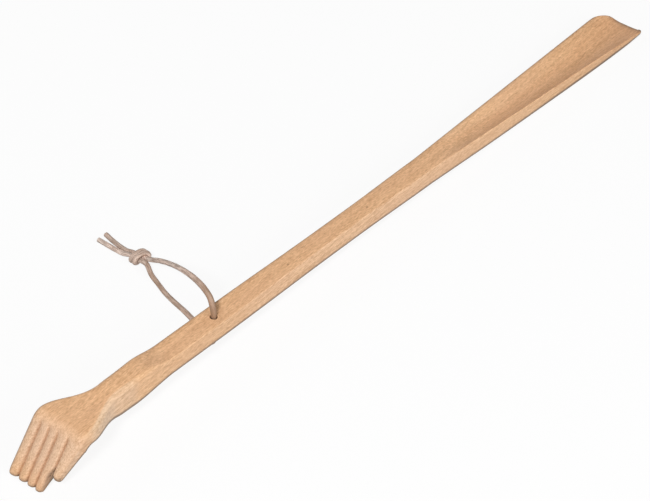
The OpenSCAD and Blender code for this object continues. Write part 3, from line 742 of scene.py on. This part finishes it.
# The greatest shares of painted shade: at the ends, partly the end grain's darker tone, on the free sides of thumb
# and index finger, on the far side and its wall, and at the lower edges, near and far. The last is the greatest share
# of painted shade in the grooves.
END_SHADE, FREE_SHADE, FAR_SHADE, WALL_SHADE = 0.6, 0.7, 0.7, 0.3
NEAR_EDGE_SHADE, FAR_EDGE_SHADE, GROOVE_SHADE = 0.95, 0.2, 0.6


def shade_marks(face, back, u):
    """Shares of painted shade over the face and back grids, each an exponential of the distance past a short start: at
    the fingertips and the shoehorn's end, where it is partly the end grain's darker tone, on the little finger's side,
    at the lower edge on the thumb's side and at the far one, and on the free sides of the index finger and thumb."""
    def fall(distance, start, reach):
        return np.exp(-np.maximum(0, distance - start) / reach)

    on_hand = smooth(along(face[..., 0], SHAFT_START, PALM_END))
    run = u[:, None] * REACH
    free = FREE_SHADE * past_thumb(run) * np.where(
        INDEX, fall(ACROSS * DIGIT_W[1], 0, 0.5), THUMB * fall((1 - ACROSS) * DIGIT_W[0], 0, 0.5))
    ends = END_SHADE * fall(face[-1:, :, 0] - face[..., 0], 1.7, 1.6)
    ends[:len(u)] = np.maximum(END_SHADE * fall(REACH - run, 0.6, 0.6), free)
    far = FAR_SHADE * fall(face[:, -1:, 1] - face[..., 1], 0.35 + 0.25 * on_hand, 0.7 + 0.2 * on_hand)
    near_edge = NEAR_EDGE_SHADE * fall(np.abs(back[..., 1] - back[:, :1, 1] - 0.25 * on_hand), 0, 0.8)
    far_edge = FAR_EDGE_SHADE * fall(back[:, -1:, 1] - back[..., 1], 0, 1)
    return np.maximum(ends, far), np.maximum(ends, np.maximum(near_edge, far_edge))


def make_stick(material):
    """One closed skin: the face and back grids, the two sides, the two ends, and a patch on each side of the cord
    hole that runs from a square of the grid to the round mouth, over a small rounding and down the bore."""
    u, x, by_hole = ring_places()
    parts = [finger_rows(u), knuckle_rows(np.linspace(0, 1, 20)[1:-1]), palm_rows(np.linspace(0, 1, 60)), body_rows(x)]
    face, back = (np.concatenate([p[i] for p in parts]) for i in (0, 1))
    count, across = face.shape[:2]
    top = np.arange(count * across).reshape(count, across)
    under = top + count * across
    skin = np.concatenate([face.reshape(-1, 3), back.reshape(-1, 3)])

    first = count - len(x) + int(np.searchsorted(x, by_hole[0]))
    last = first + len(by_hole) - 1
    columns = np.flatnonzero(np.abs(COLUMN_Y * SHAFT_W / HAND_W + HOLE_OFF) < PATCH_W)
    low, high = columns[0], columns[-1]
    keep = np.ones((count - 1, across - 1), bool)
    keep[first:last, low:high] = False
    keep = keep.ravel()

    def loop(index):
        square = index[first:last + 1, low:high + 1]
        return np.concatenate([square[0, :-1], square[:-1, -1], square[-1, :0:-1], square[:0:-1, 0]])

    loop_top, loop_under = loop(top), loop(under)
    rings = np.array(hole_rings(skin[loop_top], skin[loop_under]))
    ring_count, around = rings.shape[:2]
    points = np.concatenate([skin, rings.reshape(-1, 3), *side_rows(face, back)])
    bore = np.vstack([loop_top, len(skin) + np.arange(ring_count * around).reshape(ring_count, around), loop_under])
    bore = np.hstack([bore, bore[:, :1]])
    walls = len(skin) + ring_count * around + np.arange(2 * count).reshape(2, count)
    near_wall, far_wall = (np.stack([top[:, i], walls[i], under[:, i]], 1) for i in (0, -1))
    tips, blade_end = (np.stack([top[i], under[i]], 1) for i in (0, -1))
    quads = np.concatenate([
        grid_quads(top)[keep], grid_quads(under)[keep][:, ::-1], grid_quads(near_wall)[:, ::-1], grid_quads(far_wall),
        grid_quads(tips), grid_quads(blade_end)[:, ::-1], grid_quads(bore)])

    marks = np.zeros((len(points), 3))
    # painted shade at the ends, the far side, the lower edges and the free sides
    marks[:len(skin), 0] = np.concatenate(shade_marks(face, back, u)).ravel()
    marks[walls[1], 0] = WALL_SHADE
    # painted shade in the grooves
    in_groove = np.exp(-(np.abs(GROOVE_GAP + 0.2).min(1) / 0.6) ** 2)
    hollow_shade = GROOVE_SHADE * in_groove * groove_share(u * FINGER_REACH)[:, None]
    marks[:hollow_shade.size, 1] = hollow_shade.ravel()
    # painted shade down the cord hole
    marks[bore[3:-3].ravel(), 1] = 1.0
    # painted light and shade: the share by which each point faces the thumb's side, which takes the side tints
    marks[:, 2] = smooth(along(-normals_of(points, quads)[:, 1], 0.1, 0.5))
    piece = make_piece("stick_beech", lay_down(points), quads, material, "stick", marks)
    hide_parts("stick")


# Stage. Each lamp has a name, a place, a side in metres and its watts: the key high beyond the hand, a wide soft one
# low on the thumb's side, and a weak one on the little finger's side.

LAMPS = (("key_lamp", (-2.55, -1.2, 2.83), 0.75, 116.0),
         ("thumb_side_lamp", (-0.16, -1.44, 0.67), 1.0, 13.4),
         ("far_lamp", (0.0, 1.3, 0.9), 0.8, 3.9))
WHITE, FLOOR_GREY = (1, 1, 1, 1), (0.55, 0.55, 0.55, 1)
FLOOR_HALF, FLOOR_LOW = 8.0, -0.00003
FLOOR_GLOW, GLOW_SHARE, SKY_STRENGTH = 1.1, 0.8, 0.11


def on_rays(tree, *kinds):
    """1 for rays of the kinds named, and 0 for all others."""
    path = add(tree, "ShaderNodeLightPath").outputs
    found = path[kinds[0]]
    for kind in kinds[1:]:
        found = maths(tree, "MAXIMUM", found, path[kind])
    return found


def make_stage():
    """A pale floor that glows to the camera, a hair below the part, an even white sky, and three lamps."""
    scene = bpy.context.scene
    scene.view_settings.view_transform = "Standard"
    material, tree, shader = new_material("pale_floor")
    for name, value in (("Base Color", FLOOR_GREY), ("Roughness", 0.9), ("Specular IOR Level", 0.1)):
        shader.inputs[name].default_value = value
    glow = add(tree, "ShaderNodeEmission", Color=WHITE, Strength=FLOOR_GLOW)
    share = maths(tree, "MULTIPLY", on_rays(tree, "Is Camera Ray", "Is Glossy Ray"), GLOW_SHARE)
    both = add(tree, "ShaderNodeMixShader", i0=share, i1=shader.outputs[0], i2=glow.outputs[0])
    tree.links.new(both.outputs[0], tree.nodes["Material Output"].inputs["Surface"])
    mesh = bpy.data.meshes.new("floor")
    corners = ((-1, -1), (1, -1), (1, 1), (-1, 1))
    mesh.from_pydata([(FLOOR_HALF * x, FLOOR_HALF * y, FLOOR_LOW) for x, y in corners], [], [(0, 1, 2, 3)])
    mesh.materials.append(material)
    floor = bpy.data.objects.new("floor", mesh)
    scene.collection.objects.link(floor)

    world = bpy.data.worlds.new("sky")
    scene.world = world
    world.use_nodes = True
    tree = world.node_tree
    sky = tree.nodes["Background"]
    sky.inputs["Color"].default_value = WHITE
    sky.inputs["Strength"].default_value = SKY_STRENGTH
    white = add(tree, "ShaderNodeBackground", Color=WHITE, Strength=1.0)
    direct = on_rays(tree, "Is Camera Ray", "Is Glossy Ray", "Is Transmission Ray")
    both = add(tree, "ShaderNodeMixShader", i0=direct, i1=sky.outputs[0], i2=white.outputs[0])
    tree.links.new(both.outputs[0], tree.nodes["World Output"].inputs["Surface"])

    for name, place, size, power in LAMPS:
        lamp = bpy.data.lights.new(name, "AREA")
        lamp.size, lamp.energy = size, power
        holder = bpy.data.objects.new(name, lamp)
        scene.collection.objects.link(holder)
        aim(holder, place, (0, 0, 0))


make_camera()
drawn_grain = grain_group()
make_cord(cord_material(drawn_grain))
make_stick(beech_material(drawn_grain))
make_stage()
